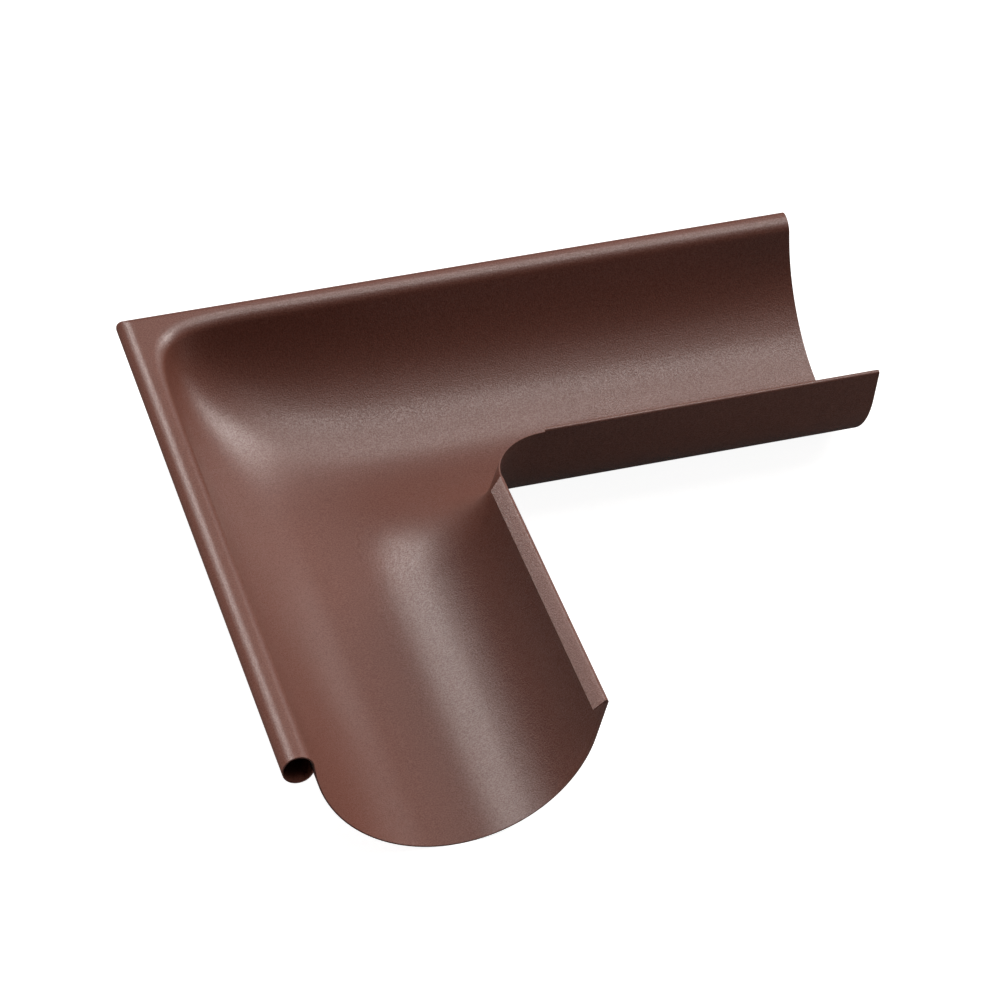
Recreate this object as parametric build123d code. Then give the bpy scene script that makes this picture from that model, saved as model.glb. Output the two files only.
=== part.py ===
from build123d import *
import os
from math import cos, log2, radians, sin, sqrt

# Outside corner of a half-round eaves gutter, pressed from one sheet of coated steel. Leg A
# runs along +X and leg B along -Y, and the trough opens upwards.
#
# A section across the trough is measured as (d, z): d is the horizontal distance from the
# trough's axis, positive towards the front bead, and z is the height above that axis. Section
# angles start at the bottom of the trough and are negative on the rear side.

# Driving dimensions in mm and degrees.
sheet = 0.6                 # thickness of the coated sheet
trough_radius = 62.5        # outside of the half-round trough
outer_length = 330.0        # from the bead's outside at the corner to the end of either leg

bead_radius = 7.0           # outside of the rolled front bead
bead_rise = 2.7             # top of the bead above the trough's axis
bead_gap_angle = 28.0       # where the curl stops, below level on the trough's side
front_wall_angle = 83.0     # section angle where the front wall runs straight

rear_wall_angle = 74.0      # section angle where the rear wall runs straight
rear_rise = 1.0             # raw top edge of the rear wall above the trough's axis
hem_fold_radius = 1.1       # outside of the fold on top of the rear wall
hem_lead = 0.2              # straight wall between the raw edge's level and the fold
hem_width = 6.4             # straight width of the flange folded back over the trough
hem_slope = 37.0            # slope of the flange below the horizontal
hem_setback = 1.0           # start of the fold past the end of the turn
hem_bevel = 4.4             # how much further along its free edge starts

inner_turn_radius = 27.5    # plan radius of the rear wall around the building's corner
floor_turn_radius = 48.0    # plan radius of the bottom of the trough
mouth_turn_radius = 30.0    # plan radius of the front wall at the outer corner
turn_fullness = 3.0         # how fast the outer turn tightens on its way up from the floor

# Working values that steer the surfaces and the cutting bodies.
turn_spans = 20             # spans of the corner surface around the turn
turn_evenness = 0.5         # 1 spreads them evenly, less crowds them at the mitre
arc_spans = 20              # spans of the corner surface across the trough
fit = 0.001                 # tolerance of that surface
seam = 0.005                # how far apart edges may lie where bodies are joined
margin = 20.0               # overshoot of the cutting bodies
upper_trim = 5.0            # how much larger than the corner its upper block is, all round
lower_trim = 10.0           # the same for its lower block

trough_inside = trough_radius - sheet
front_angle = radians(front_wall_angle)
rear_angle = radians(-rear_wall_angle)
MITRE = Plane(origin=(0, 0, 0), z_dir=(1, 1, 0))


def arc_point(angle, grow=0.0):
    """Point (d, z) of the trough's inside at a section angle, grown outwards."""
    radius = trough_inside + grow
    return radius * sin(angle), -radius * cos(angle)


def wall_point(angle, z, grow=0.0):
    """Point (d, z) at height z on the straight wall that leaves the trough at an angle."""
    d_foot, z_foot = arc_point(angle, grow)
    side = 1 if angle > 0 else -1
    return d_foot + side * cos(angle) * (z - z_foot) / abs(sin(angle)), z


# The bead touches the front wall's inside face and the level of the rim.
bead_z = bead_rise - bead_radius
bead_d = wall_point(front_angle, bead_z)[0] + bead_radius / sin(front_angle)
bead_reach = bead_d + bead_radius
leg_end = outer_length - bead_reach

# The rear wall turns about a vertical axis diagonally behind the inner corner.
pivot = inner_turn_radius - wall_point(rear_angle, rear_rise)[0]

# The blocks' own inner corner lies between that axis and the rear wall's tightest turn.
block_rear = pivot - inner_turn_radius / 4


def turn_radius(point, angle, grow):
    """Plan radius of the turn at a section point (d, z) of a wall grown outwards.

    It tightens from the floor towards the rear wall, and faster towards the mouth.
    """
    if angle <= 0:
        edge = pivot + arc_point(rear_angle)[0]
        lift = sin(angle) / sin(rear_angle)
    else:
        edge = mouth_turn_radius
        lift = (sin(angle) / sin(front_angle)) ** turn_fullness
    foot = edge + (floor_turn_radius - edge) * (1 - lift) + grow * sin(angle)
    return foot + point[0] - arc_point(angle, grow)[0]


def turned(point, turn, radius):
    """Place a section point at a turn angle from leg A, seen from the pivot.

    Its path is a superellipse from leg to leg, which leaves as much of the sharp corner free
    as an arc of the given radius does, and becomes that arc where it is centred on the pivot.
    """
    d, z = point
    length = pivot + d
    power = 1 / (0.5 - log2(sqrt(2) - (sqrt(2) - 1) * radius / length))
    reach = length * (cos(turn) ** power + sin(turn) ** power) ** (-1 / power)
    return Vector(pivot - reach * sin(turn), -pivot + reach * cos(turn), z)


def turn_angles():
    """Turn angles from leg A to leg B, crowded at the mitre plane between them."""
    half = radians(45)
    steps = [2 * i / turn_spans - 1 for i in range(turn_spans + 1)]
    return [half + half * (turn_evenness * s + (1 - turn_evenness) * s ** 3) for s in steps]


def section_path(point, angle, grow):
    """Points that one section point passes on its way around the turn."""
    radius = turn_radius(point, angle, grow)
    return [turned(point, turn, radius) for turn in turn_angles()]


def rail_over(foot, path):
    """Smooth edge along a path, running the same way as the edge below it."""
    leaving, arriving = Vector(-1, 0, 0), Vector(0, -1, 0)
    start = foot.position_at(0)
    if (start - path[0]).length > (start - path[-1]).length:
        path = path[::-1]
        leaving, arriving = -arriving, -leaving
    return Edge.make_spline(path, tangents=[leaving, arriving])


def corner_hollow(grow):
    """Closed body of the trough's hollow around the turn, open to well above the rim."""
    top = bead_rise + margin
    angles = [rear_angle + (front_angle - rear_angle) * i / arc_spans for i in range(arc_spans + 1)]
    grid = [section_path(arc_point(angle, grow), angle, grow) for angle in angles]
    floor = Face.make_surface_from_array_of_points(grid, tol=fit, min_deg=3, max_deg=3)

    sides = floor.edges()
    ends = {Axis.X: sides.sort_by(Axis.X)[-1], -Axis.Y: sides.sort_by(Axis.Y)[0]}
    rear_foot, front_foot = (
        [edge for edge in sides if abs(edge.center().Z - arc_point(angle, grow)[1]) < 1][0]
        for angle in (rear_angle, front_angle)
    )
    rear_top = rail_over(rear_foot, section_path(wall_point(rear_angle, top, grow), rear_angle, grow))
    front_top = rail_over(front_foot, section_path(wall_point(front_angle, top, grow), front_angle, grow))

    faces = [floor]
    faces.append(Face.make_surface_from_curves(rear_foot, rear_top))
    faces.append(Face.make_surface_from_curves(front_foot, front_top))
    lids = []
    for way, end in ends.items():
        corners = [max((edge.position_at(0), edge.position_at(1)), key=lambda p: p.dot(way.direction))
                   for edge in (front_foot, front_top, rear_top, rear_foot)]
        posts = [Edge.make_line(a, b) for a, b in zip(corners, corners[1:])]
        lids.append(posts[1])
        faces.append(Face(Wire([end] + posts)))
    faces.append(Face(Wire([front_top, rear_top] + lids)))
    return Solid(Shell(faces))


def hollow(grow):
    """Corner hollow with straight ends that run out past the turn."""
    corner = corner_hollow(grow)
    flats = corner.faces().filter_by(GeomType.PLANE)
    end_a = extrude(flats.sort_by(Axis.X)[-1], amount=2 * margin, dir=(1, 0, 0))
    end_b = extrude(flats.sort_by(Axis.Y)[0], amount=2 * margin, dir=(0, -1, 0))
    return corner.fuse(end_a, end_b, tol=fit)


def angle_plan(front, rear, end):
    """Flat L between a line on the bead's side and one on the rear side of the trough."""
    outline = Polyline((-front, front), (end, front), (end, -rear), (rear, -rear),
                       (rear, -end), (-front, -end), close=True)
    return make_face(outline)


def formed_block(top, spread, grow):
    """Block with the corner sunk into it and the mouth's edge on the bead's side rounded."""
    bottom = -trough_radius - margin - spread
    plan = angle_plan(bead_d + spread, block_rear, pivot + spread)
    body = extrude(Plane.XY.offset(bottom) * plan, amount=top - bottom) - hollow(grow)
    mouth = wall_point(front_angle, top, grow)[0]
    level = body.edges().filter_by(lambda edge: abs(edge.center().Z - top) < fit)
    rim = [edge for edge in level if on_mouth(edge.position_at(0.5), mouth)]
    return fillet(rim, bead_radius - grow)


def on_mouth(middle, mouth):
    """True for the middle of an edge of the mouth on the bead's side of either leg."""
    across = max(middle.Y, -middle.X)
    at_turn = middle.Y > 0 > middle.X
    return (at_turn and across < mouth) or abs(across - mouth) < fit


def pressed_corner():
    """Turned trough, rounded ridge and flat web: the skin between two formed blocks."""
    skin = formed_block(bead_rise, upper_trim, 0.0)
    skin = skin - formed_block(bead_rise - sheet, lower_trim, sheet)
    floor = Plane.XY.offset(-trough_radius - margin)
    inside = extrude(floor * angle_plan(bead_d, block_rear, pivot), amount=trough_radius + 2 * margin)
    rim = Plane.XY.offset(rear_rise)
    above_rear = extrude(rim * angle_plan(0, block_rear, pivot + margin), amount=margin)
    return (skin & inside) - above_rear


def arc(centre, radius, start, end):
    """Arc of a section between two directions in degrees, as seen along the leg."""
    return CenterArc(centre, radius, start, end - start)


def joined(*chain):
    """Closed face from section edges, each linked to the next by a straight line if apart."""
    edges = []
    for edge, following in zip(chain, chain[1:] + chain[:1]):
        edges.append(edge)
        if (edge @ 1 - following @ 0).length > fit:
            edges.append(Line(edge @ 1, following @ 0))
    return make_face(edges)


def curl_faces(start):
    """Outer arc of the bead's curl from a direction to the free edge, and the inner arc back."""
    free = bead_gap_angle - 180
    centre = (bead_d, bead_z)
    return arc(centre, bead_radius, start, free), arc(centre, bead_radius - sheet, free, start)


def leg_section():
    """Section of a leg from the raw top edge of its rear wall to the free edge of its bead."""
    rear, front = -rear_wall_angle - 90, front_wall_angle - 90
    curl_out, curl_in = curl_faces(front_wall_angle + 90)
    top_in = Vector(*wall_point(rear_angle, rear_rise))
    top_out = Vector(*wall_point(rear_angle, rear_rise, sheet))
    trough_in = arc((0, 0), trough_inside, rear, front)
    trough_out = arc((0, 0), trough_radius, front, rear)
    return joined(Line(top_out, top_in), trough_in, curl_out, curl_in, trough_out)


def bead_section():
    """Section of the curl alone, from the top of the bead to its free edge."""
    return joined(*curl_faces(90))


def hem_section():
    """Section of the fold and the flange, and the two d between which its start is bevelled."""
    wall_up = Vector(-cos(rear_angle), -sin(rear_angle))
    inwards = Vector(-sin(rear_angle), cos(rear_angle))
    down = Vector(cos(radians(hem_slope)), -sin(radians(hem_slope)))
    face_in = Vector(*wall_point(rear_angle, rear_rise))
    face_out = Vector(*wall_point(rear_angle, rear_rise, sheet))
    centre = face_in + wall_up * hem_lead + inwards * (hem_fold_radius - sheet)
    start, end = 270 - rear_wall_angle, 90 - hem_slope
    outer = arc(tuple(centre), hem_fold_radius, start, end)
    inner = arc(tuple(centre), hem_fold_radius - sheet, end, start)
    tip = Line(outer @ 1 + down * hem_width, inner @ 0 + down * hem_width)
    return joined(Line(face_in, face_out), outer, tip, inner), centre.X, (tip @ 0).X + sheet


def run(section, start, end):
    """Section carried along leg A between two distances from the crossing of the axes."""
    plane = Plane(origin=(start, 0, 0), x_dir=(0, 1, 0), z_dir=(1, 0, 0))
    return extrude(plane * section, amount=end - start)


def hem():
    """Fold and sloping flange on top of leg A's rear wall, bevelled at the turn."""
    section, fold_d, free_d = hem_section()
    begin = pivot + hem_setback
    wedge = Polyline((begin, fold_d), (begin + hem_bevel, free_d), (begin, free_d), close=True)
    bevel = extrude(Plane.XY.offset(-margin) * make_face(wedge), amount=2 * margin)
    return run(section, begin, leg_end) - bevel


def leg_a():
    """Leg A with its half of the corner, cut at the mitre plane."""
    half = split(pressed_corner(), bisect_by=MITRE, keep=Keep.TOP)
    corner_bead = split(run(bead_section(), -bead_reach, pivot), bisect_by=MITRE, keep=Keep.TOP)
    for piece in (run(leg_section(), pivot, leg_end), corner_bead, hem()):
        half = half.fuse(piece, tol=seam)
    return half


def gutter_angle():
    """The whole angle as one solid, standing on its trough with its box centred on Z."""
    half = leg_a()
    middle = outer_length / 2 - bead_reach
    return Pos(-middle, middle, trough_radius) * (half + mirror(half, about=MITRE))


os.makedirs("parts", exist_ok=True)
export_step(gutter_angle(), "parts/gutter_angle.step")
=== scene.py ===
"""Outside corner of a half-round eaves gutter in brown coated steel, with its studio.

The sheet is one thin section swept around the turn by Geometry Nodes. A section across the
trough is measured as (d, z): d is the distance from the trough's axis, positive towards the
front bead, and z is the height above that axis. Leg A runs along +X and leg B along -Y.
Lengths are in metres and angles in degrees, unless a description says otherwise.
"""

import logging
import math
from dataclasses import dataclass, field
from enum import Enum

import bmesh
import bpy
from mathutils import Matrix, Vector

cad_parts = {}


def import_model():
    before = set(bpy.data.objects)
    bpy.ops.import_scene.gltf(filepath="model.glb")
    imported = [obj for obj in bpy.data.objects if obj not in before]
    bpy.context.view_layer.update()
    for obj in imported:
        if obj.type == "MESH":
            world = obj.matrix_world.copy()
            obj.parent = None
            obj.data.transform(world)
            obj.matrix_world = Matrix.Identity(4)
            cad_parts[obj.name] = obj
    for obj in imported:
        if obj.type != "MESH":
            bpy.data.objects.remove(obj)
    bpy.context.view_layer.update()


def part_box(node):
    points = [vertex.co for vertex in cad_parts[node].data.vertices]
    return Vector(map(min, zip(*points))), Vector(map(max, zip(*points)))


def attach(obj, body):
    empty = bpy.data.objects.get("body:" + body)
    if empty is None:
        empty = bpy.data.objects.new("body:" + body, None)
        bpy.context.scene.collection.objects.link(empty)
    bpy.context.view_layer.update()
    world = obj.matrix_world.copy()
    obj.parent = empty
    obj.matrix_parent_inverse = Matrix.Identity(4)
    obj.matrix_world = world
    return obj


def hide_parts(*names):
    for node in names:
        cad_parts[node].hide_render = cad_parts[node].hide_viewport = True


LOG = logging.getLogger("gutter_angle")
NODE = "gutter_angle"

STRAIGHT_UP = 90.0  # direction in degrees
SHARPEST = 1e-6     # least flatness of the way round the turn, where it is a sharp mitre
HALF = 0.5          # keeps a comparison of whole numbers clear of rounding
WHITE = (1.0, 1.0, 1.0, 1.0)
BLACK = (0.0, 0.0, 0.0, 1.0)

Point = tuple[float, float]
Socket = bpy.types.NodeSocket


def evenly(start: float, end: float, steps: int) -> list[float]:
    """Values from start to end in even steps, with both ends."""
    return [start + (end - start) * step / steps for step in range(steps + 1)]


class Leg(Enum):
    """Leg of the angle; its value is the sign of both coordinates along and across it."""

    A = 1.0
    B = -1.0


@dataclass(frozen=True)
class Row:
    """One line across the sheet's section, from its upper face to its lower face.

    Attributes:
        upper: Point (d, z) on the face that holds the water.
        lower: Point (d, z) on the other face.
        upper_turn: Plan radius of the turn at the upper point.
        lower_turn: Plan radius of the turn at the lower point.
    """

    upper: Point
    lower: Point
    upper_turn: float
    lower_turn: float


@dataclass(frozen=True)
class GutterSection:
    """Sizes of the pressed sheet and the rows of points that describe its section.

    Attributes:
        sheet: Thickness of the sheet.
        trough_radius: Outside radius of the half-round trough.
        bead_radius: Outside radius of the rolled front bead.
        bead_rise: Top of the bead above the trough's axis.
        bead_gap_angle: Where the curl stops, below level on the trough's side.
        front_wall_angle: Section angle where the front wall runs straight.
        rear_wall_angle: Section angle where the rear wall runs straight.
        rear_rise: Raw top edge of the rear wall above the trough's axis.
        inner_turn_radius: Plan radius of the rear wall's turn.
        floor_turn_radius: Plan radius of the turn at the bottom of the trough.
        mouth_turn_radius: Plan radius of the front wall's turn.
        ridge_turn_radius: Plan radius of the turn on top of the ridge.
        turn_fullness: How fast the outer turn tightens on its way up from the floor.
        wall_steps: Rows of the straight rear wall.
        trough_steps: Steps across the trough.
        ridge_steps: Steps over the ridge.
        web_steps: Steps across the flat web in the corner.
        curl_steps: Steps around the bead.
    """

    sheet: float = 0.0006
    trough_radius: float = 0.0625
    bead_radius: float = 0.0070
    bead_rise: float = 0.0027
    bead_gap_angle: float = 19.0
    front_wall_angle: float = 83.0
    rear_wall_angle: float = 74.0
    rear_rise: float = 0.0010
    inner_turn_radius: float = 0.0275
    floor_turn_radius: float = 0.0480
    mouth_turn_radius: float = 0.0300
    ridge_turn_radius: float = 0.0320
    turn_fullness: float = 3.0
    wall_steps: int = 4
    trough_steps: int = 56
    ridge_steps: int = 12
    web_steps: int = 8
    curl_steps: int = 40

    @property
    def front(self) -> float:
        """Section angle in radians where the front wall runs straight."""
        return math.radians(self.front_wall_angle)

    @property
    def rear(self) -> float:
        """Section angle in radians where the rear wall runs straight."""
        return math.radians(-self.rear_wall_angle)

    @property
    def bead_centre(self) -> Point:
        """Centre of the bead, which touches the front wall's face and the level of the rim."""
        z = self.bead_rise - self.bead_radius
        return self.wall_point(self.front, z)[0] + self.bead_radius / math.sin(self.front), z

    @property
    def bead_reach(self) -> float:
        """Distance from the trough's axis to the outside of the bead."""
        return self.bead_centre[0] + self.bead_radius

    @property
    def pivot(self) -> float:
        """Distance of the vertical axis, about which the rear wall turns, from either axis."""
        return self.inner_turn_radius - self.wall_point(self.rear, self.rear_rise)[0]

    def arc_point(self, angle: float, grow: float = 0.0) -> Point:
        """Point of the trough's upper face at a section angle, grown outwards.

        Args:
            angle: Section angle in radians, from the bottom of the trough.
            grow: Distance out from the upper face.

        Returns:
            The point (d, z).
        """
        radius = self.trough_radius - self.sheet + grow
        return radius * math.sin(angle), -radius * math.cos(angle)

    def wall_point(self, angle: float, height: float, grow: float = 0.0) -> Point:
        """Point at a height on the straight wall that leaves the trough at an angle.

        Args:
            angle: Section angle in radians where the wall starts.
            height: Height z of the point.
            grow: Distance out from the upper face.

        Returns:
            The point (d, z).
        """
        d_foot, z_foot = self.arc_point(angle, grow)
        lean = math.copysign(1.0, angle) * math.cos(angle) / abs(math.sin(angle))
        return d_foot + lean * (height - z_foot), height

    def curl_point(self, direction: float, inset: float = 0.0) -> Point:
        """Point of the bead's curl.

        Args:
            direction: Direction from the bead's centre in degrees.
            inset: Distance in from the curl's outside.

        Returns:
            The point (d, z).
        """
        radius = self.bead_radius - inset
        angle = math.radians(direction)
        d, z = self.bead_centre
        return d + radius * math.cos(angle), z + radius * math.sin(angle)

    def trough_turn(self, angle: float, grow: float = 0.0) -> float:
        """Plan radius of the turn at a point of the trough, which tightens towards the mouth.

        Args:
            angle: Section angle in radians.
            grow: Distance out from the upper face.

        Returns:
            The plan radius.
        """
        if angle <= 0:
            edge = self.pivot + self.arc_point(self.rear)[0]
            lift = math.sin(angle) / math.sin(self.rear)
        else:
            edge = self.mouth_turn_radius
            lift = (math.sin(angle) / math.sin(self.front)) ** self.turn_fullness
        return edge + (self.floor_turn_radius - edge) * (1 - lift) + grow * math.sin(angle)

    def ridge_turn(self, d: float) -> float:
        """Plan radius of the turn on the ridge, which is broader at its top.

        Args:
            d: Distance of the point from the trough's axis.

        Returns:
            The plan radius.
        """
        foot, top = self.arc_point(self.front)[0], self.bead_centre[0]
        share = (d - foot) / (top - foot)
        return self.mouth_turn_radius + (self.ridge_turn_radius - self.mouth_turn_radius) * share

    def rear_rows(self) -> list[Row]:
        """Rows of the straight rear wall, from its raw top edge down to the trough.

        Returns:
            The rows in order.
        """
        rows = []
        foot = self.arc_point(self.rear)[1]
        drop = self.arc_point(self.rear, self.sheet)[1] - foot
        heights = evenly(self.rear_rise, foot, self.wall_steps)[:-1]
        for step, height in enumerate(heights):
            lower_height = height + drop * step / self.wall_steps
            upper = self.wall_point(self.rear, height)
            lower = self.wall_point(self.rear, lower_height, self.sheet)
            rows.append(Row(upper, lower, self.pivot + upper[0], self.pivot + lower[0]))
        return rows

    def trough_rows(self) -> list[Row]:
        """Rows of the round trough from the rear wall to the front wall.

        Returns:
            The rows in order.
        """
        rows = []
        for angle in evenly(self.rear, self.front, self.trough_steps):
            upper, lower = self.arc_point(angle), self.arc_point(angle, self.sheet)
            turns = self.trough_turn(angle), self.trough_turn(angle, self.sheet)
            rows.append(Row(upper, lower, *turns))
        return rows

    def ridge_rows(self) -> list[Row]:
        """Rows of the rounded ridge, from the front wall to the level of the rim.

        Returns:
            The rows in order.
        """
        rows = []
        for direction in evenly(STRAIGHT_UP + self.front_wall_angle, STRAIGHT_UP, self.ridge_steps):
            upper, lower = self.curl_point(direction), self.curl_point(direction, self.sheet)
            rows.append(Row(upper, lower, self.ridge_turn(upper[0]), self.ridge_turn(lower[0])))
        return rows

    def web_rows(self) -> list[Row]:
        """Rows of the flat web that fills the corner between the ridge and the bead.

        Returns:
            The rows in order.
        """
        ridge = self.ridge_rows()[-1]
        rows = []
        for step in range(1, self.web_steps):
            share = 1 - step / self.web_steps
            turns = ridge.upper_turn * share, ridge.lower_turn * share
            rows.append(Row(ridge.upper, ridge.lower, *turns))
        return rows

    def curl_rows(self) -> list[Row]:
        """Rows of the bead from its top to its free edge, mitred at the corner.

        Returns:
            The rows in order.
        """
        rows = []
        for direction in evenly(STRAIGHT_UP, self.bead_gap_angle - 180, self.curl_steps):
            outside, inside = self.curl_point(direction), self.curl_point(direction, self.sheet)
            rows.append(Row(outside, inside, 0.0, 0.0))
        return rows

    def rows(self) -> list[Row]:
        """All rows, from the raw edge of the rear wall to the free edge of the bead."""
        wall_and_trough = self.rear_rows() + self.trough_rows()
        return wall_and_trough + self.ridge_rows() + self.web_rows() + self.curl_rows()


@dataclass(frozen=True)
class HemSection:
    """Sizes of the fold and the sloping flange on top of a rear wall.

    Attributes:
        body: Section of the sheet that the hem belongs to.
        fold_radius: Outside radius of the fold.
        lead: Straight wall between the raw edge's level and the fold.
        width: Straight width of the flange.
        slope: Slope of the flange below the horizontal.
        setback: Start of the hem past the end of the turn.
        bevel: How much further along its free edge starts.
        fold_steps: Steps around the fold.
        flange_steps: Steps across the flange.
    """

    body: GutterSection
    fold_radius: float = 0.0011
    lead: float = 0.0002
    width: float = 0.0064
    slope: float = 37.0
    setback: float = 0.0010
    bevel: float = 0.0044
    fold_steps: int = 14
    flange_steps: int = 4

    def centre(self) -> Vector:
        """Centre of the fold on top of the rear wall.

        Returns:
            The centre as (d, z).
        """
        body = self.body
        up = Vector((-math.cos(body.rear), -math.sin(body.rear)))
        inwards = Vector((-math.sin(body.rear), math.cos(body.rear)))
        face = Vector(body.wall_point(body.rear, body.rear_rise))
        return face + up * self.lead + inwards * (self.fold_radius - body.sheet)

    def rows(self) -> list[Row]:
        """Rows from the raw edge of the wall over the fold to the flange's free edge.

        Returns:
            The rows in order.
        """
        body, centre = self.body, self.centre()
        foot_upper = body.wall_point(body.rear, body.rear_rise)
        foot_lower = body.wall_point(body.rear, body.rear_rise, body.sheet)
        rows = [Row(foot_upper, foot_lower, 0.0, 0.0)]
        away_from_wall = 270 - body.rear_wall_angle
        for direction in evenly(away_from_wall, STRAIGHT_UP - self.slope, self.fold_steps):
            angle = math.radians(direction)
            ray = Vector((math.cos(angle), math.sin(angle)))
            upper = centre + ray * (self.fold_radius - body.sheet)
            rows.append(Row(tuple(upper), tuple(centre + ray * self.fold_radius), 0.0, 0.0))
        slope = math.radians(self.slope)
        down = Vector((math.cos(slope), -math.sin(slope)))
        last = rows[-1]
        for step in range(1, self.flange_steps + 1):
            shift = down * self.width * step / self.flange_steps
            upper, lower = Vector(last.upper) + shift, Vector(last.lower) + shift
            rows.append(Row(tuple(upper), tuple(lower), 0.0, 0.0))
        return rows


@dataclass
class Tree:
    """Short hand for building a node tree: nodes, links and arithmetic.

    Attributes:
        group: The node tree itself.
        inputs: Sockets of its named inputs, to link from.
    """

    group: bpy.types.NodeTree
    inputs: dict[str, Socket] = field(default_factory=dict)

    @classmethod
    def make(cls, name: str, kind: str, sockets: dict[str, tuple[str, object]]) -> "Tree":
        """Start a node group with named inputs.

        Args:
            name: Name of the group.
            kind: Type of the tree.
            sockets: Type and default value of each input, by its name.

        Returns:
            The tree, whose inputs hold the sockets to link from.
        """
        group = bpy.data.node_groups.new(name, kind)
        for label, (socket_type, default) in sockets.items():
            socket = group.interface.new_socket(label, in_out="INPUT", socket_type=socket_type)
            if default is not None:
                socket.default_value = default
        tree = cls(group)
        entry = group.nodes.new("NodeGroupInput")
        tree.inputs = {socket.name: socket for socket in entry.outputs if socket.name}
        return tree

    def add(self, kind: str, *values: object, **settings: object) -> bpy.types.Node:
        """Add a node, set it up and feed its first inputs.

        Args:
            kind: Type name of the node.
            *values: Sockets or plain values for the inputs, in order; None leaves one alone.
            **settings: Properties of the node.

        Returns:
            The node.
        """
        node = self.group.nodes.new(kind)
        for name, value in settings.items():
            setattr(node, name, value)
        for socket, value in zip([s for s in node.inputs if s.enabled], values):
            self.feed(socket, value)
        return node

    def feed(self, socket: Socket, value: object) -> None:
        """Link a socket to an input, or give the input a plain value.

        Args:
            socket: The input.
            value: Socket or plain value; None leaves the input alone.
        """
        if isinstance(value, Socket):
            self.group.links.new(value, socket)
        elif value is not None:
            socket.default_value = value

    def math(self, operation: str, *values: object) -> Socket:
        """Arithmetic on numbers or sockets; returns the result's socket."""
        return self.add("ShaderNodeMath", *values, operation=operation).outputs[0]

    @staticmethod
    def live(sockets: bpy.types.bpy_prop_collection, name: str = "") -> Socket:
        """First enabled socket of a node, or the first with that name."""
        return next(s for s in sockets if s.enabled and name in ("", s.name))

    def blend(self, share: object, first: object, second: object) -> Socket:
        """Mix two colours.

        Args:
            share: Socket of the second colour's share.
            first: First colour, or its socket.
            second: Second colour, or its socket.

        Returns:
            The socket of the mixed colour.
        """
        mix = self.add("ShaderNodeMix", data_type="RGBA")
        colours = (s for s in mix.inputs if s.enabled and s.type == "RGBA")
        self.feed(self.live(mix.inputs, "Factor"), share)
        for socket, colour in zip(colours, (first, second)):
            self.feed(socket, colour)
        return self.live(mix.outputs)

    def row_and_rest(self, index: Socket, width: Socket) -> tuple[Socket, Socket]:
        """Row of an index in rows of a width, and its place in that row."""
        row = self.math("FLOOR", self.math("DIVIDE", self.math("ADD", index, HALF), width))
        return row, self.math("SUBTRACT", index, self.math("MULTIPLY", row, width))

    def output(self, name: str, socket_type: str, value: Socket) -> None:
        """Give the group one more named output and link it.

        Args:
            name: Name of the output.
            socket_type: Type of the output.
            value: Socket that feeds it.
        """
        self.group.interface.new_socket(name, in_out="OUTPUT", socket_type=socket_type)
        leave = next((n for n in self.group.nodes if n.bl_idname == "NodeGroupOutput"), None)
        leave = leave or self.group.nodes.new("NodeGroupOutput")
        self.group.links.new(value, leave.inputs[name])


@dataclass(frozen=True)
class Course:
    """Way of the sheet from the end of leg A, around the turn, to the end of leg B.

    Attributes:
        pivot: Distance of the turn's axis from either leg's axis.
        leg_end: Distance from the crossing of the axes to the end of either leg.
        hem_start: Length of the first span of a leg past the turn, where the hem starts.
        shift: Place of the crossing of the axes in the frame.
        turn_spans: Spans around the turn.
        leg_spans: Spans along each leg.
        evenness: 1 spreads the spans evenly around the turn, less crowds them at the mitre.
    """

    pivot: float
    leg_end: float
    hem_start: float
    shift: Vector
    turn_spans: int = 112
    leg_spans: int = 9
    evenness: float = 0.4

    def values(self) -> dict[str, object]:
        """Values of the tree's inputs.

        Returns:
            The values by the inputs' names.
        """
        return {
            "Pivot": self.pivot, "Leg End": self.leg_end, "Hem Start": self.hem_start,
            "Shift": self.shift, "Turn Spans": self.turn_spans, "Leg Spans": self.leg_spans,
            "Evenness": self.evenness,
        }


COURSE_SOCKETS = {
    "Pivot": ("NodeSocketFloat", 0.09), "Leg End": ("NodeSocketFloat", 0.25),
    "Hem Start": ("NodeSocketFloat", 0.001), "Shift": ("NodeSocketVector", None),
    "Turn Spans": ("NodeSocketInt", 32), "Leg Spans": ("NodeSocketInt", 4),
    "Evenness": ("NodeSocketFloat", 0.5),
}
FINISH_SOCKETS = {"Weld": ("NodeSocketFloat", 1e-5), "Coating": ("NodeSocketMaterial", None)}


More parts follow.
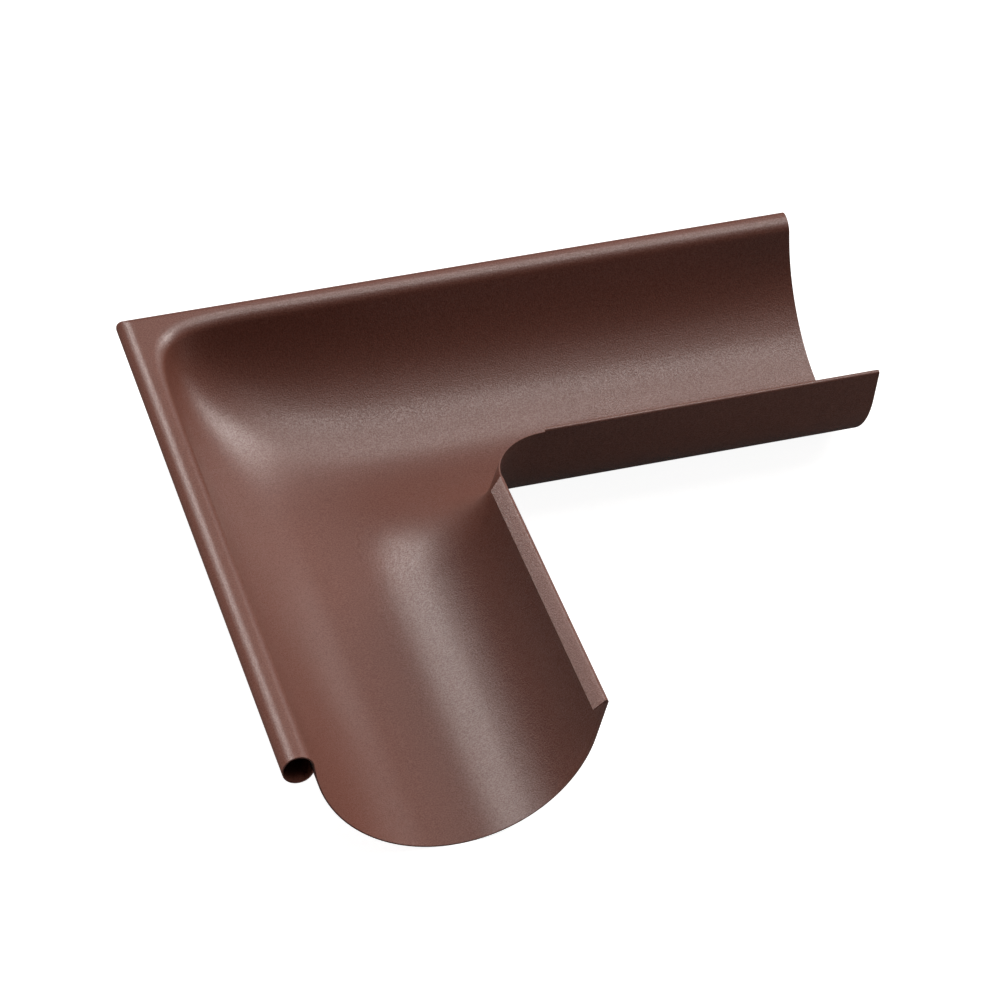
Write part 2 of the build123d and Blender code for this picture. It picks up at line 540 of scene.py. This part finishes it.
class SweepTrees:
    """Geometry Nodes trees that carry a section around the course."""

    def __init__(self) -> None:
        """Build the shared group for a leg's spans and the one that places a point."""
        self.leg_distance = self._leg_distance()
        self.place = self._place()

    @staticmethod
    def _leg_distance() -> bpy.types.NodeTree:
        """Group: distance past the pivot of the k-th station of a leg.

        Returns:
            The group.
        """
        tree = Tree.make("Leg Distance", "GeometryNodeTree",
                         {"Step": ("NodeSocketFloat", 0.0), **COURSE_SOCKETS})
        step = tree.inputs["Step"]
        first = tree.math("MULTIPLY", tree.math("MINIMUM", step, 1.0), tree.inputs["Hem Start"])
        length = tree.math("SUBTRACT", tree.inputs["Leg End"], tree.inputs["Pivot"])
        rest = tree.math("SUBTRACT", length, tree.inputs["Hem Start"])
        share = tree.math("DIVIDE", tree.math("MAXIMUM", tree.math("SUBTRACT", step, 1.0), 0.0),
                          tree.math("SUBTRACT", tree.inputs["Leg Spans"], 1.0))
        distance = tree.math("ADD", first, tree.math("MULTIPLY", rest, share))
        tree.output("Distance", "NodeSocketFloat", distance)
        return tree.group

    def _place(self) -> bpy.types.NodeTree:
        """Group: place of a section point at a station, on a superellipse from leg to leg.

        The path leaves as much of the sharp corner free as an arc of the plan radius does.

        Returns:
            The group.
        """
        tree = Tree.make("Place Round Turn", "GeometryNodeTree", {
            "Section": ("NodeSocketVector", None), "Plan Radius": ("NodeSocketFloat", 0.0),
            "Station": ("NodeSocketFloat", 0.0), **COURSE_SOCKETS})
        src = tree.inputs
        section = tree.add("ShaderNodeSeparateXYZ", src["Section"])
        length = tree.math("ADD", src["Pivot"], section.outputs[0])

        rounding = tree.math("DIVIDE", src["Plan Radius"], length)
        loss = tree.math("MULTIPLY", math.sqrt(2) - 1, rounding)
        log = tree.math("LOGARITHM", tree.math("SUBTRACT", math.sqrt(2), loss), 2.0)
        flatness = tree.math("MAXIMUM", tree.math("SUBTRACT", 0.5, log), SHARPEST)

        after = tree.math("SUBTRACT", src["Station"], src["Leg Spans"])
        ratio = tree.math("DIVIDE", after, src["Turn Spans"])
        spread = tree.math("SUBTRACT", tree.math("MULTIPLY", ratio, 2.0), 1.0)
        spread = tree.math("MINIMUM", tree.math("MAXIMUM", spread, -1.0), 1.0)
        crowding = tree.math("SUBTRACT", 1.0, src["Evenness"])
        cubed = tree.math("MULTIPLY", crowding, tree.math("POWER", spread, 3.0))
        crowded = tree.math("ADD", tree.math("MULTIPLY", src["Evenness"], spread), cubed)
        quarter = math.pi / 4
        turn = tree.math("ADD", quarter, tree.math("MULTIPLY", quarter, crowded))

        cosine, sine = tree.math("COSINE", turn), tree.math("SINE", turn)
        major, minor = tree.math("MAXIMUM", cosine, sine), tree.math("MINIMUM", cosine, sine)
        slant = tree.math("POWER", tree.math("MAXIMUM", tree.math("DIVIDE", minor, major), 0.0),
                          tree.math("DIVIDE", 1.0, flatness))
        swell = tree.math("POWER", tree.math("ADD", 1.0, slant), flatness)
        reach = tree.math("DIVIDE", length, tree.math("MULTIPLY", major, swell))

        before_turn = tree.math("MAXIMUM", tree.math("MULTIPLY", after, -1.0), 0.0)
        past_turn = tree.math("MAXIMUM", tree.math("SUBTRACT", after, src["Turn Spans"]), 0.0)
        run_a = self._call(tree, self.leg_distance, {"Step": before_turn})
        run_b = self._call(tree, self.leg_distance, {"Step": past_turn})
        turned_x = tree.math("SUBTRACT", src["Pivot"], tree.math("MULTIPLY", reach, sine))
        turned_y = tree.math("SUBTRACT", tree.math("MULTIPLY", reach, cosine), src["Pivot"])
        point = tree.add("ShaderNodeCombineXYZ", tree.math("ADD", turned_x, run_a),
                         tree.math("SUBTRACT", turned_y, run_b), section.outputs[1])
        placed = tree.add("ShaderNodeVectorMath", point.outputs[0], src["Shift"], operation="ADD")
        tree.output("Place", "NodeSocketVector", placed.outputs[0])
        return tree.group

    @staticmethod
    def _call(tree: Tree, group: bpy.types.NodeTree, values: dict[str, object]) -> Socket:
        """Add a shared group to a tree and pass the inputs of the course on to it.

        Args:
            tree: Tree that the group goes into.
            group: The shared group.
            values: Sockets or numbers for the group's own inputs, by their names.

        Returns:
            The socket of the group's output.
        """
        node = tree.add("GeometryNodeGroup", node_tree=group)
        course = {name: tree.inputs[name] for name in COURSE_SOCKETS}
        for name, value in {**course, **values}.items():
            tree.feed(node.inputs[name], value)
        return node.outputs[0]

    def _placed(self, tree: Tree, section: Socket, radius: Socket, station: object) -> Socket:
        """Place a section point at a station and return the socket of its place."""
        values = {"Section": section, "Plan Radius": radius, "Station": station}
        return self._call(tree, self.place, values)

    @staticmethod
    def _sample(tree: Tree, value: object, index: object, kind: str) -> Socket:
        """Read a value of the section's points by their index.

        Args:
            tree: Tree that reads its input "Section".
            value: Socket of the value on the section.
            index: Socket of the index.
            kind: Type of the value.

        Returns:
            The socket of the value read.
        """
        node = tree.add("GeometryNodeSampleIndex", data_type=kind, domain="POINT")
        tree.feed(node.inputs["Geometry"], tree.inputs["Section"])
        tree.feed(tree.live(node.inputs, "Value"), value)
        tree.feed(node.inputs["Index"], index)
        return tree.live(node.outputs)

    @staticmethod
    def _named(tree: Tree, name: str) -> Socket:
        """Read a named number of the points.

        Args:
            tree: Tree that reads it.
            name: Name of the number.

        Returns:
            The socket of the number.
        """
        node = tree.add("GeometryNodeInputNamedAttribute", data_type="FLOAT")
        node.inputs["Name"].default_value = name
        return tree.live(node.outputs, "Attribute")

    def sheet_tree(self) -> bpy.types.NodeTree:
        """Tree that sweeps the closed section of the sheet and caps both of its ends.

        Returns:
            The tree. Its geometry input is the section as a strip of faces in the (d, z) plane.
        """
        tree = Tree.make("Sweep Sheet", "GeometryNodeTree", {
            "Section": ("NodeSocketGeometry", None), **COURSE_SOCKETS, **FINISH_SOCKETS})
        src = tree.inputs
        size = tree.add("GeometryNodeAttributeDomainSize", src["Section"], component="MESH")
        count = size.outputs["Point Count"]
        spans = tree.math("ADD", src["Turn Spans"], tree.math("MULTIPLY", src["Leg Spans"], 2.0))
        ring = tree.math("ADD", count, 1.0)
        grid = tree.add("GeometryNodeMeshGrid", 1.0, 1.0, tree.math("ADD", spans, 1.0), ring)

        index = tree.add("GeometryNodeInputIndex").outputs[0]
        station, along = tree.row_and_rest(index, ring)
        point = tree.math("MODULO", along, count)
        place = tree.add("GeometryNodeInputPosition").outputs[0]
        radius = self._named(tree, "plan_radius")
        section_point = self._sample(tree, place, point, "FLOAT_VECTOR")
        section_radius = self._sample(tree, radius, point, "FLOAT")
        swept = tree.add("GeometryNodeSetPosition", grid.outputs["Mesh"])
        swept_place = self._placed(tree, section_point, section_radius, station)
        tree.feed(swept.inputs["Position"], swept_place)

        # The last face across each span is the raw top of the rear wall. A hem takes its place
        # along either leg, except on the span next to the turn.
        span, across = tree.row_and_rest(index, count)
        is_rim = tree.math("GREATER_THAN", across, tree.math("SUBTRACT", count, 1 + HALF))
        hem_a = tree.math("SUBTRACT", src["Leg Spans"], 1 + HALF)
        on_leg_a = tree.math("LESS_THAN", span, hem_a)
        leg_b = tree.math("ADD", src["Leg Spans"], src["Turn Spans"])
        on_leg_b = tree.math("GREATER_THAN", span, tree.math("ADD", leg_b, HALF))
        hemmed = tree.math("MULTIPLY", is_rim, tree.math("MAXIMUM", on_leg_a, on_leg_b))
        open_rim = tree.add("GeometryNodeDeleteGeometry", swept.outputs[0], hemmed,
                            domain="FACE", mode="ALL")

        parts = [open_rim.outputs[0]]
        for station_number in (0.0, spans):
            cap = tree.add("GeometryNodeSetPosition", src["Section"])
            tree.feed(cap.inputs["Position"], self._placed(tree, place, radius, station_number))
            parts.append(cap.outputs[0])
        self._close(tree, parts)
        return tree.group

    def hem_tree(self) -> bpy.types.NodeTree:
        """Tree that runs the hem's section along leg A, bevelled at its start, and mirrors it.

        Returns:
            The tree. Its geometry input is the section as a strip of faces in the (d, z) plane.
        """
        tree = Tree.make("Run Hems", "GeometryNodeTree", {
            "Section": ("NodeSocketGeometry", None), **COURSE_SOCKETS,
            "Fold": ("NodeSocketFloat", 0.0), "Bevel Slope": ("NodeSocketFloat", 0.0),
            **FINISH_SOCKETS})
        src = tree.inputs
        size = tree.add("GeometryNodeAttributeDomainSize", src["Section"], component="MESH")
        count = size.outputs["Point Count"]
        grid = tree.add("GeometryNodeMeshGrid", 1.0, 1.0, src["Leg Spans"], count)
        index = tree.add("GeometryNodeInputIndex").outputs[0]
        step, point = tree.row_and_rest(index, count)
        place = tree.add("GeometryNodeInputPosition").outputs[0]

        parts = []
        swept_point = self._sample(tree, place, point, "FLOAT_VECTOR")
        last_step = tree.math("SUBTRACT", src["Leg Spans"], 1.0)
        strip_and_caps = ((grid.outputs["Mesh"], swept_point, step),
                          (src["Section"], place, 0.0), (src["Section"], place, last_step))
        for geometry, section, number in strip_and_caps:
            d, z, _ = tree.add("ShaderNodeSeparateXYZ", section).outputs
            past_fold = tree.math("MAXIMUM", tree.math("SUBTRACT", d, src["Fold"]), 0.0)
            at_start = tree.math("LESS_THAN", number, HALF)
            setback = tree.math("MULTIPLY", past_fold, src["Bevel Slope"])
            bevel = tree.math("MULTIPLY", at_start, setback)
            run = self._call(tree, self.leg_distance, {"Step": tree.math("ADD", number, 1.0)})
            along = tree.math("ADD", tree.math("ADD", src["Pivot"], run), bevel)
            for leg in Leg:
                x, y = (along, d) if leg is Leg.A else (d, along)
                spot = tree.add("ShaderNodeCombineXYZ", tree.math("MULTIPLY", x, leg.value),
                                tree.math("MULTIPLY", y, leg.value), z)
                moved = tree.add("ShaderNodeVectorMath", spot.outputs[0], src["Shift"],
                                 operation="ADD")
                part = tree.add("GeometryNodeSetPosition", geometry)
                tree.feed(part.inputs["Position"], moved.outputs[0])
                parts.append(part.outputs[0])
        self._close(tree, parts)
        return tree.group

    @staticmethod
    def _close(tree: Tree, parts: list[Socket]) -> None:
        """Join the parts, weld them, give them the coating and end the tree.

        Args:
            tree: The tree to end.
            parts: Sockets of the geometries to join.
        """
        join = tree.add("GeometryNodeJoinGeometry")
        for part in reversed(parts):
            tree.group.links.new(part, join.inputs[0])
        weld = tree.add("GeometryNodeMergeByDistance", join.outputs[0])
        tree.feed(weld.inputs["Distance"], tree.inputs["Weld"])
        real = tree.add("GeometryNodeRealizeInstances", weld.outputs[0])
        smooth = tree.add("GeometryNodeSetShadeSmooth", real.outputs[0])
        coat = tree.add("GeometryNodeSetMaterial", smooth.outputs[0])
        tree.feed(coat.inputs["Material"], tree.inputs["Coating"])
        tree.output("Geometry", "NodeSocketGeometry", coat.outputs[0])


@dataclass(frozen=True)
class SatinCoating:
    """Brown polyester coating: satin, with a very fine speckled texture.

    Attributes:
        colour: Base colour, linear.
        deep_colour: Colour of the faint blotches.
        fleck_colour: Colour of the pale flecks in the grain.
        fleck_share: How far a fleck takes the colour over.
        roughness: Middle roughness of the coating.
        roughness_play: How far a grain's roughness leaves the middle.
        index: Index of refraction of the coating.
        gloss: Weight of the clear top coat where the grain is at its glossiest.
        gloss_least: Weight of the clear top coat where the grain is dullest.
        gloss_roughness: Roughness of that top coat.
        grain_size: Size of a grain of the texture.
        grain_height: Height of a grain in the bump.
        grain_detail: How many finer layers the bump's noise has.
        blotch_size: Size of the faint changes of shade.
        noise_range: Values of the noise that count as the lowest and the highest.
    """

    colour: tuple[float, float, float] = (0.139, 0.042, 0.026)
    deep_colour: tuple[float, float, float] = (0.132, 0.040, 0.024)
    fleck_colour: tuple[float, float, float] = (0.220, 0.088, 0.064)
    fleck_share: float = 0.60
    roughness: float = 0.40
    roughness_play: float = 0.04
    index: float = 1.58
    gloss: float = 0.68
    gloss_least: float = 0.12
    gloss_roughness: float = 0.29
    grain_size: float = 0.0007
    grain_height: float = 0.00006
    grain_detail: float = 2.0
    blotch_size: float = 0.03
    noise_range: tuple[float, float] = (0.32, 0.68)

    def grain_group(self) -> bpy.types.NodeTree:
        """Shader group: fine grain of the coating and the faint blotches under it.

        Returns:
            The group with outputs Height, Fleck and Blotch.
        """
        tree = Tree.make("Coating Grain", "ShaderNodeTree", {
            "Place": ("NodeSocketVector", None), "Grain Size": ("NodeSocketFloat", 0.001),
            "Blotch Size": ("NodeSocketFloat", 0.03)})
        src = tree.inputs
        outputs = {"Height": (src["Grain Size"], self.grain_detail),
                   "Fleck": (src["Grain Size"], 1.0), "Blotch": (src["Blotch Size"], 1.0)}
        for name, (size, detail) in outputs.items():
            noise = tree.add("ShaderNodeTexNoise", noise_dimensions="3D")
            tree.feed(noise.inputs["Vector"], src["Place"])
            tree.feed(noise.inputs["Scale"], tree.math("DIVIDE", 1.0, size))
            tree.feed(noise.inputs["Detail"], detail)
            even = tree.add("ShaderNodeMapRange", noise.outputs[0], *self.noise_range, 0.0, 1.0)
            tree.output(name, "NodeSocketFloat", even.outputs[0])
        return tree.group

    def material(self) -> bpy.types.Material:
        """Build the coating's material.

        Returns:
            The material.
        """
        made = bpy.data.materials.new("Brown satin coating")
        made.use_nodes = True
        tree = Tree(made.node_tree)
        shader = made.node_tree.nodes["Principled BSDF"]
        tree.feed(shader.inputs["IOR"], self.index)
        grain = tree.add("ShaderNodeGroup", node_tree=self.grain_group())
        tree.feed(grain.inputs["Place"], tree.add("ShaderNodeTexCoord").outputs["Object"])
        tree.feed(grain.inputs["Grain Size"], self.grain_size)
        tree.feed(grain.inputs["Blotch Size"], self.blotch_size)

        fleck = grain.outputs["Fleck"]
        shade = tree.blend(grain.outputs["Blotch"], (*self.colour, 1.0), (*self.deep_colour, 1.0))
        flecked = tree.math("MULTIPLY", fleck, self.fleck_share)
        colour = tree.blend(flecked, shade, (*self.fleck_colour, 1.0))
        tree.feed(shader.inputs["Base Color"], colour)

        dullest = self.roughness + self.roughness_play
        glossiest = self.roughness - self.roughness_play
        rough = tree.add("ShaderNodeMapRange", fleck, 0.0, 1.0, dullest, glossiest)
        tree.feed(shader.inputs["Roughness"], rough.outputs[0])
        glossy = tree.add("ShaderNodeMapRange", fleck, 0.0, 1.0, self.gloss_least, self.gloss)
        tree.feed(shader.inputs["Coat Weight"], glossy.outputs[0])
        tree.feed(shader.inputs["Coat Roughness"], self.gloss_roughness)

        bump = tree.add("ShaderNodeBump")
        tree.feed(bump.inputs["Strength"], 1.0)
        tree.feed(bump.inputs["Distance"], self.grain_height)
        tree.feed(bump.inputs["Height"], grain.outputs["Height"])
        tree.feed(shader.inputs["Normal"], bump.outputs[0])
        return made


@dataclass
class GutterAngle:
    """The angle itself: one sheet, pressed at the corner, with a bead and two hems.

    Attributes:
        section: Section of the sheet.
        weld: Distance under which points are one point.
        sliver: Length under which an edge is dissolved.
        crease: Angle past which an edge shades sharp, in degrees.
    """

    section: GutterSection = field(default_factory=GutterSection)
    weld: float = 2e-5
    sliver: float = 1e-7
    crease: float = 40.0

    def course(self) -> Course:
        """Fit the course to the frame, which gives the length of the legs.

        Returns:
            The course of the sheet.
        """
        low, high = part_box(NODE)
        reach = self.section.bead_reach
        leg_end = high.x - low.x - reach
        shift = Vector((low.x + reach, high.y - reach, low.z + self.section.trough_radius))
        return Course(self.section.pivot, leg_end, HemSection(self.section).setback, shift)

    @staticmethod
    def strip(name: str, rows: list[Row]) -> bpy.types.Object:
        """Lay a section out as a strip of faces in the (d, z) plane.

        Args:
            name: Name of the object.
            rows: Rows of the section.

        Returns:
            An object whose points carry their plan radius.
        """
        count = len(rows)
        points = [row.upper for row in rows] + [row.lower for row in reversed(rows)]
        radii = [row.upper_turn for row in rows] + [row.lower_turn for row in reversed(rows)]
        faces = [(k, k + 1, 2 * count - 2 - k, 2 * count - 1 - k) for k in range(count - 1)]
        mesh = bpy.data.meshes.new(name)
        mesh.from_pydata([(d, z, 0.0) for d, z in points], [], faces)
        mesh.attributes.new("plan_radius", "FLOAT", "POINT").data.foreach_set("value", radii)
        laid_out = bpy.data.objects.new(name, mesh)
        bpy.context.scene.collection.objects.link(laid_out)
        return laid_out

    @staticmethod
    def swept(strip: bpy.types.Object, tree: bpy.types.NodeTree,
              values: dict[str, object]) -> bpy.types.Mesh:
        """Run a tree on a section and keep the result as a plain mesh.

        Args:
            strip: Object of the section, which is removed afterwards.
            tree: The tree.
            values: Values of the tree's inputs by their names.

        Returns:
            The mesh.
        """
        modifier = strip.modifiers.new("Sweep", "NODES")
        modifier.node_group = tree
        for item in tree.interface.items_tree:
            if item.item_type == "SOCKET" and item.in_out == "INPUT" and item.name in values:
                modifier[item.identifier] = values[item.name]
        bpy.context.view_layer.update()
        graph = bpy.context.evaluated_depsgraph_get()
        mesh = bpy.data.meshes.new_from_object(strip.evaluated_get(graph))
        bpy.data.objects.remove(strip)
        return mesh

    def joined(self, parts: list[bpy.types.Mesh]) -> tuple[bpy.types.Mesh, int]:
        """Weld meshes into one clean sheet, with its creases marked sharp.

        Args:
            parts: The meshes.

        Returns:
            The welded mesh and the number of its open edges.
        """
        shape = bmesh.new()
        for part in parts:
            shape.from_mesh(part)
        bmesh.ops.remove_doubles(shape, verts=shape.verts, dist=self.weld)
        bmesh.ops.dissolve_degenerate(shape, edges=shape.edges, dist=self.sliver)
        bmesh.ops.recalc_face_normals(shape, faces=shape.faces)
        limit = math.radians(self.crease)
        for edge in shape.edges:
            edge.smooth = len(edge.link_faces) == 2 and edge.calc_face_angle(math.pi) < limit
        open_edges = sum(1 for edge in shape.edges if len(edge.link_faces) != 2)
        mesh = bpy.data.meshes.new("gutter_angle_sheet")
        shape.to_mesh(mesh)
        shape.free()
        return mesh, open_edges

    def build(self, coating: bpy.types.Material) -> bpy.types.Object:
        """Sweep the sheet and its hems, weld them and hand the piece to the frame.

        Args:
            coating: Material of the coating.

        Returns:
            The finished piece.
        """
        course, hem = self.course(), HemSection(self.section)
        trees = SweepTrees()
        common = {**course.values(), "Weld": self.weld, "Coating": coating}
        sheet = self.swept(self.strip("section", self.section.rows()), trees.sheet_tree(), common)
        hem_rows = hem.rows()
        fold, free = hem.centre()[0], hem_rows[-1].lower[0] + self.section.sheet
        bevel = {"Fold": fold, "Bevel Slope": hem.bevel / (free - fold)}
        hems = self.swept(self.strip("hem", hem_rows), trees.hem_tree(), {**common, **bevel})

        mesh, open_edges = self.joined([sheet, hems])
        mesh.materials.clear()
        mesh.materials.append(coating)
        piece = bpy.data.objects.new("gutter_angle_sheet", mesh)
        bpy.context.scene.collection.objects.link(piece)
        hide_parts(NODE)
        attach(piece, "root")
        LOG.info("gutter angle: %d points, %d faces, %d open edges",
                 len(mesh.vertices), len(mesh.polygons), open_edges)
        return piece


@dataclass(frozen=True)
class DistantSoftbox:
    """Large softbox so far off that it lights the whole object alike.

    Attributes:
        name: Name of the light.
        azimuth: Direction of the light in degrees, from +X towards +Y.
        elevation: Height of the light over the floor in degrees.
        strength: Strength in watts on a square metre that faces it.
        spread: How wide the softbox looks from the object, in degrees.
        colour: Colour of the light, a little warm.
    """

    name: str
    azimuth: float
    elevation: float
    strength: float
    spread: float = 22.0
    colour: tuple[float, float, float] = (1.0, 0.955, 0.925)

    def build(self) -> bpy.types.Object:
        """Add the light.

        Returns:
            The light.
        """
        lamp = bpy.data.lights.new(self.name, "SUN")
        lamp.energy, lamp.angle, lamp.color = self.strength, math.radians(self.spread), self.colour
        light = bpy.data.objects.new(self.name, lamp)
        turn, rise = math.radians(self.azimuth), math.radians(self.elevation)
        level = math.cos(rise)
        towards = Vector((math.cos(turn) * level, math.sin(turn) * level, math.sin(rise)))
        light.rotation_mode = "QUATERNION"
        light.rotation_quaternion = (-towards).to_track_quat("-Z", "Y")
        bpy.context.scene.collection.objects.link(light)
        return light


@dataclass
class Studio:
    """Pale floor, soft lights, plain surroundings and the camera at the photograph's angle.

    Attributes:
        eye: Place of the camera.
        yaw: Turn of the camera from +Y towards +X, in radians.
        pitch: How far the camera looks down, in radians.
        roll: Tilt of the camera about its own axis, in radians.
        lens: Focal length in millimetres.
        sensor: Width of the sensor in millimetres.
        clip: Nearest and furthest distance that the camera sees.
        floor_size: Width of the square floor.
        floor_colour: Colour of the floor under the lamps, linear.
        floor_glow: How white the camera sees the floor before the lamps add to it.
        mirrored: Share of the white background that a reflection on the object shows.
        ambient: Strength of the surroundings as a light on the object.
        lights: The softboxes around the object.
    """

    eye: tuple[float, float, float] = (-0.44814, -1.49770, 1.25058)
    yaw: float = 0.2759
    pitch: float = 0.6577
    roll: float = -0.004
    lens: float = 157.18
    sensor: float = 36.0
    clip: tuple[float, float] = (0.05, 50.0)
    floor_size: float = 12.0
    floor_colour: tuple[float, float, float] = (0.52, 0.52, 0.52)
    floor_glow: float = 0.94
    mirrored: float = 0.045
    ambient: float = 0.0
    lights: tuple[DistantSoftbox, ...] = (
        DistantSoftbox("right low", 0, 20, 0.12),
        DistantSoftbox("right back low", 45, 23, 0.14),
        DistantSoftbox("right", 15, 30, 0.54),
        DistantSoftbox("right middle", 15, 40, 0.27),
        DistantSoftbox("right back", 30, 40, 0.43),
        DistantSoftbox("right high", 15, 50, 0.51),
        DistantSoftbox("back right", 73, 38, 0.08),
        DistantSoftbox("back", 110, 32, 0.65),
        DistantSoftbox("back low", 120, 22, 0.18),
        DistantSoftbox("top right", 45, 72, 0.30),
        DistantSoftbox("top back", 95, 77, 0.52),
        DistantSoftbox("top front", 315, 70, 0.66),
        DistantSoftbox("front", 300, 46, 0.10),
        DistantSoftbox("left", 176, 1, 2.00, spread=6.0),
    )

    def camera(self) -> bpy.types.Object:
        """Add the camera and make it the scene's.

        Returns:
            The camera.
        """
        level = math.cos(self.pitch)
        sine, cosine = math.sin(self.yaw), math.cos(self.yaw)
        ahead = Vector((sine * level, cosine * level, -math.sin(self.pitch)))
        right = Vector((cosine, -sine, 0.0))
        up = right.cross(ahead)
        turned_right = right * math.cos(self.roll) + up * math.sin(self.roll)
        turned_up = up * math.cos(self.roll) - right * math.sin(self.roll)
        data = bpy.data.cameras.new("camera")
        data.sensor_width, data.lens = self.sensor, self.lens
        data.clip_start, data.clip_end = self.clip
        camera = bpy.data.objects.new("camera", data)
        turn = Matrix((turned_right, turned_up, -ahead)).transposed()
        camera.rotation_mode = "QUATERNION"
        camera.rotation_quaternion = turn.to_quaternion()
        camera.location = self.eye
        bpy.context.scene.collection.objects.link(camera)
        bpy.context.scene.camera = camera
        return camera

    def white(self, tree: Tree, strength: float, otherwise: float) -> Socket:
        """White background: its strength for the camera, through glass and in reflections.

        Args:
            tree: Tree of the material or of the world.
            strength: Strength where the camera sees it, straight or through glass.
            otherwise: Strength for the rays that light the object.

        Returns:
            The socket of the strength.
        """
        rays = tree.add("ShaderNodeLightPath").outputs
        straight = tree.math("MAXIMUM", rays["Is Camera Ray"], rays["Is Transmission Ray"])
        mirrored = tree.math("MULTIPLY", rays["Is Glossy Ray"], self.mirrored)
        shown = tree.math("MULTIPLY", tree.math("MAXIMUM", straight, mirrored), strength)
        return tree.math("MAXIMUM", shown, otherwise)

    def floor(self) -> bpy.types.Object:
        """Add the floor, white to the camera with a faint shadow, and dark in reflections.

        Returns:
            The floor.
        """
        mesh = bpy.data.meshes.new("floor")
        half = self.floor_size / 2
        corners = [(-half, -half, 0.0), (half, -half, 0.0), (half, half, 0.0), (-half, half, 0.0)]
        mesh.from_pydata(corners, [], [(0, 1, 2, 3)])
        floor = bpy.data.objects.new("floor", mesh)
        bpy.context.scene.collection.objects.link(floor)
        made = bpy.data.materials.new("Pale floor")
        made.use_nodes = True
        tree = Tree(made.node_tree)
        shader = made.node_tree.nodes["Principled BSDF"]
        reflected = tree.add("ShaderNodeLightPath").outputs["Is Glossy Ray"]
        colour = tree.blend(reflected, (*self.floor_colour, 1.0), BLACK)
        tree.feed(shader.inputs["Base Color"], colour)
        tree.feed(shader.inputs["Roughness"], 1.0)
        tree.feed(shader.inputs["Specular IOR Level"], 0.0)
        tree.feed(shader.inputs["Emission Color"], WHITE)
        tree.feed(shader.inputs["Emission Strength"], self.white(tree, self.floor_glow, 0.0))
        mesh.materials.append(made)
        return floor

    def world(self) -> None:
        """Show the surroundings white behind the object, without light from them."""
        world = bpy.data.worlds.new("studio")
        bpy.context.scene.world = world
        world.use_nodes = True
        tree = Tree(world.node_tree)
        background = world.node_tree.nodes["Background"]
        tree.feed(background.inputs["Color"], WHITE)
        tree.feed(background.inputs["Strength"], self.white(tree, 1.0, self.ambient))

    def build(self) -> None:
        """Set up the whole studio."""
        bpy.context.scene.view_settings.view_transform = "Standard"
        self.camera()
        self.floor()
        self.world()
        for light in self.lights:
            light.build()
        LOG.info("studio: %d lights", len(self.lights))


def main() -> None:
    """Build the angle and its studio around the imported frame."""
    logging.basicConfig(level=logging.INFO, format="%(name)s: %(message)s")
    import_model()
    coating = SatinCoating().material()
    GutterAngle().build(coating)
    Studio().build()


if __name__ == "__main__":
    main()
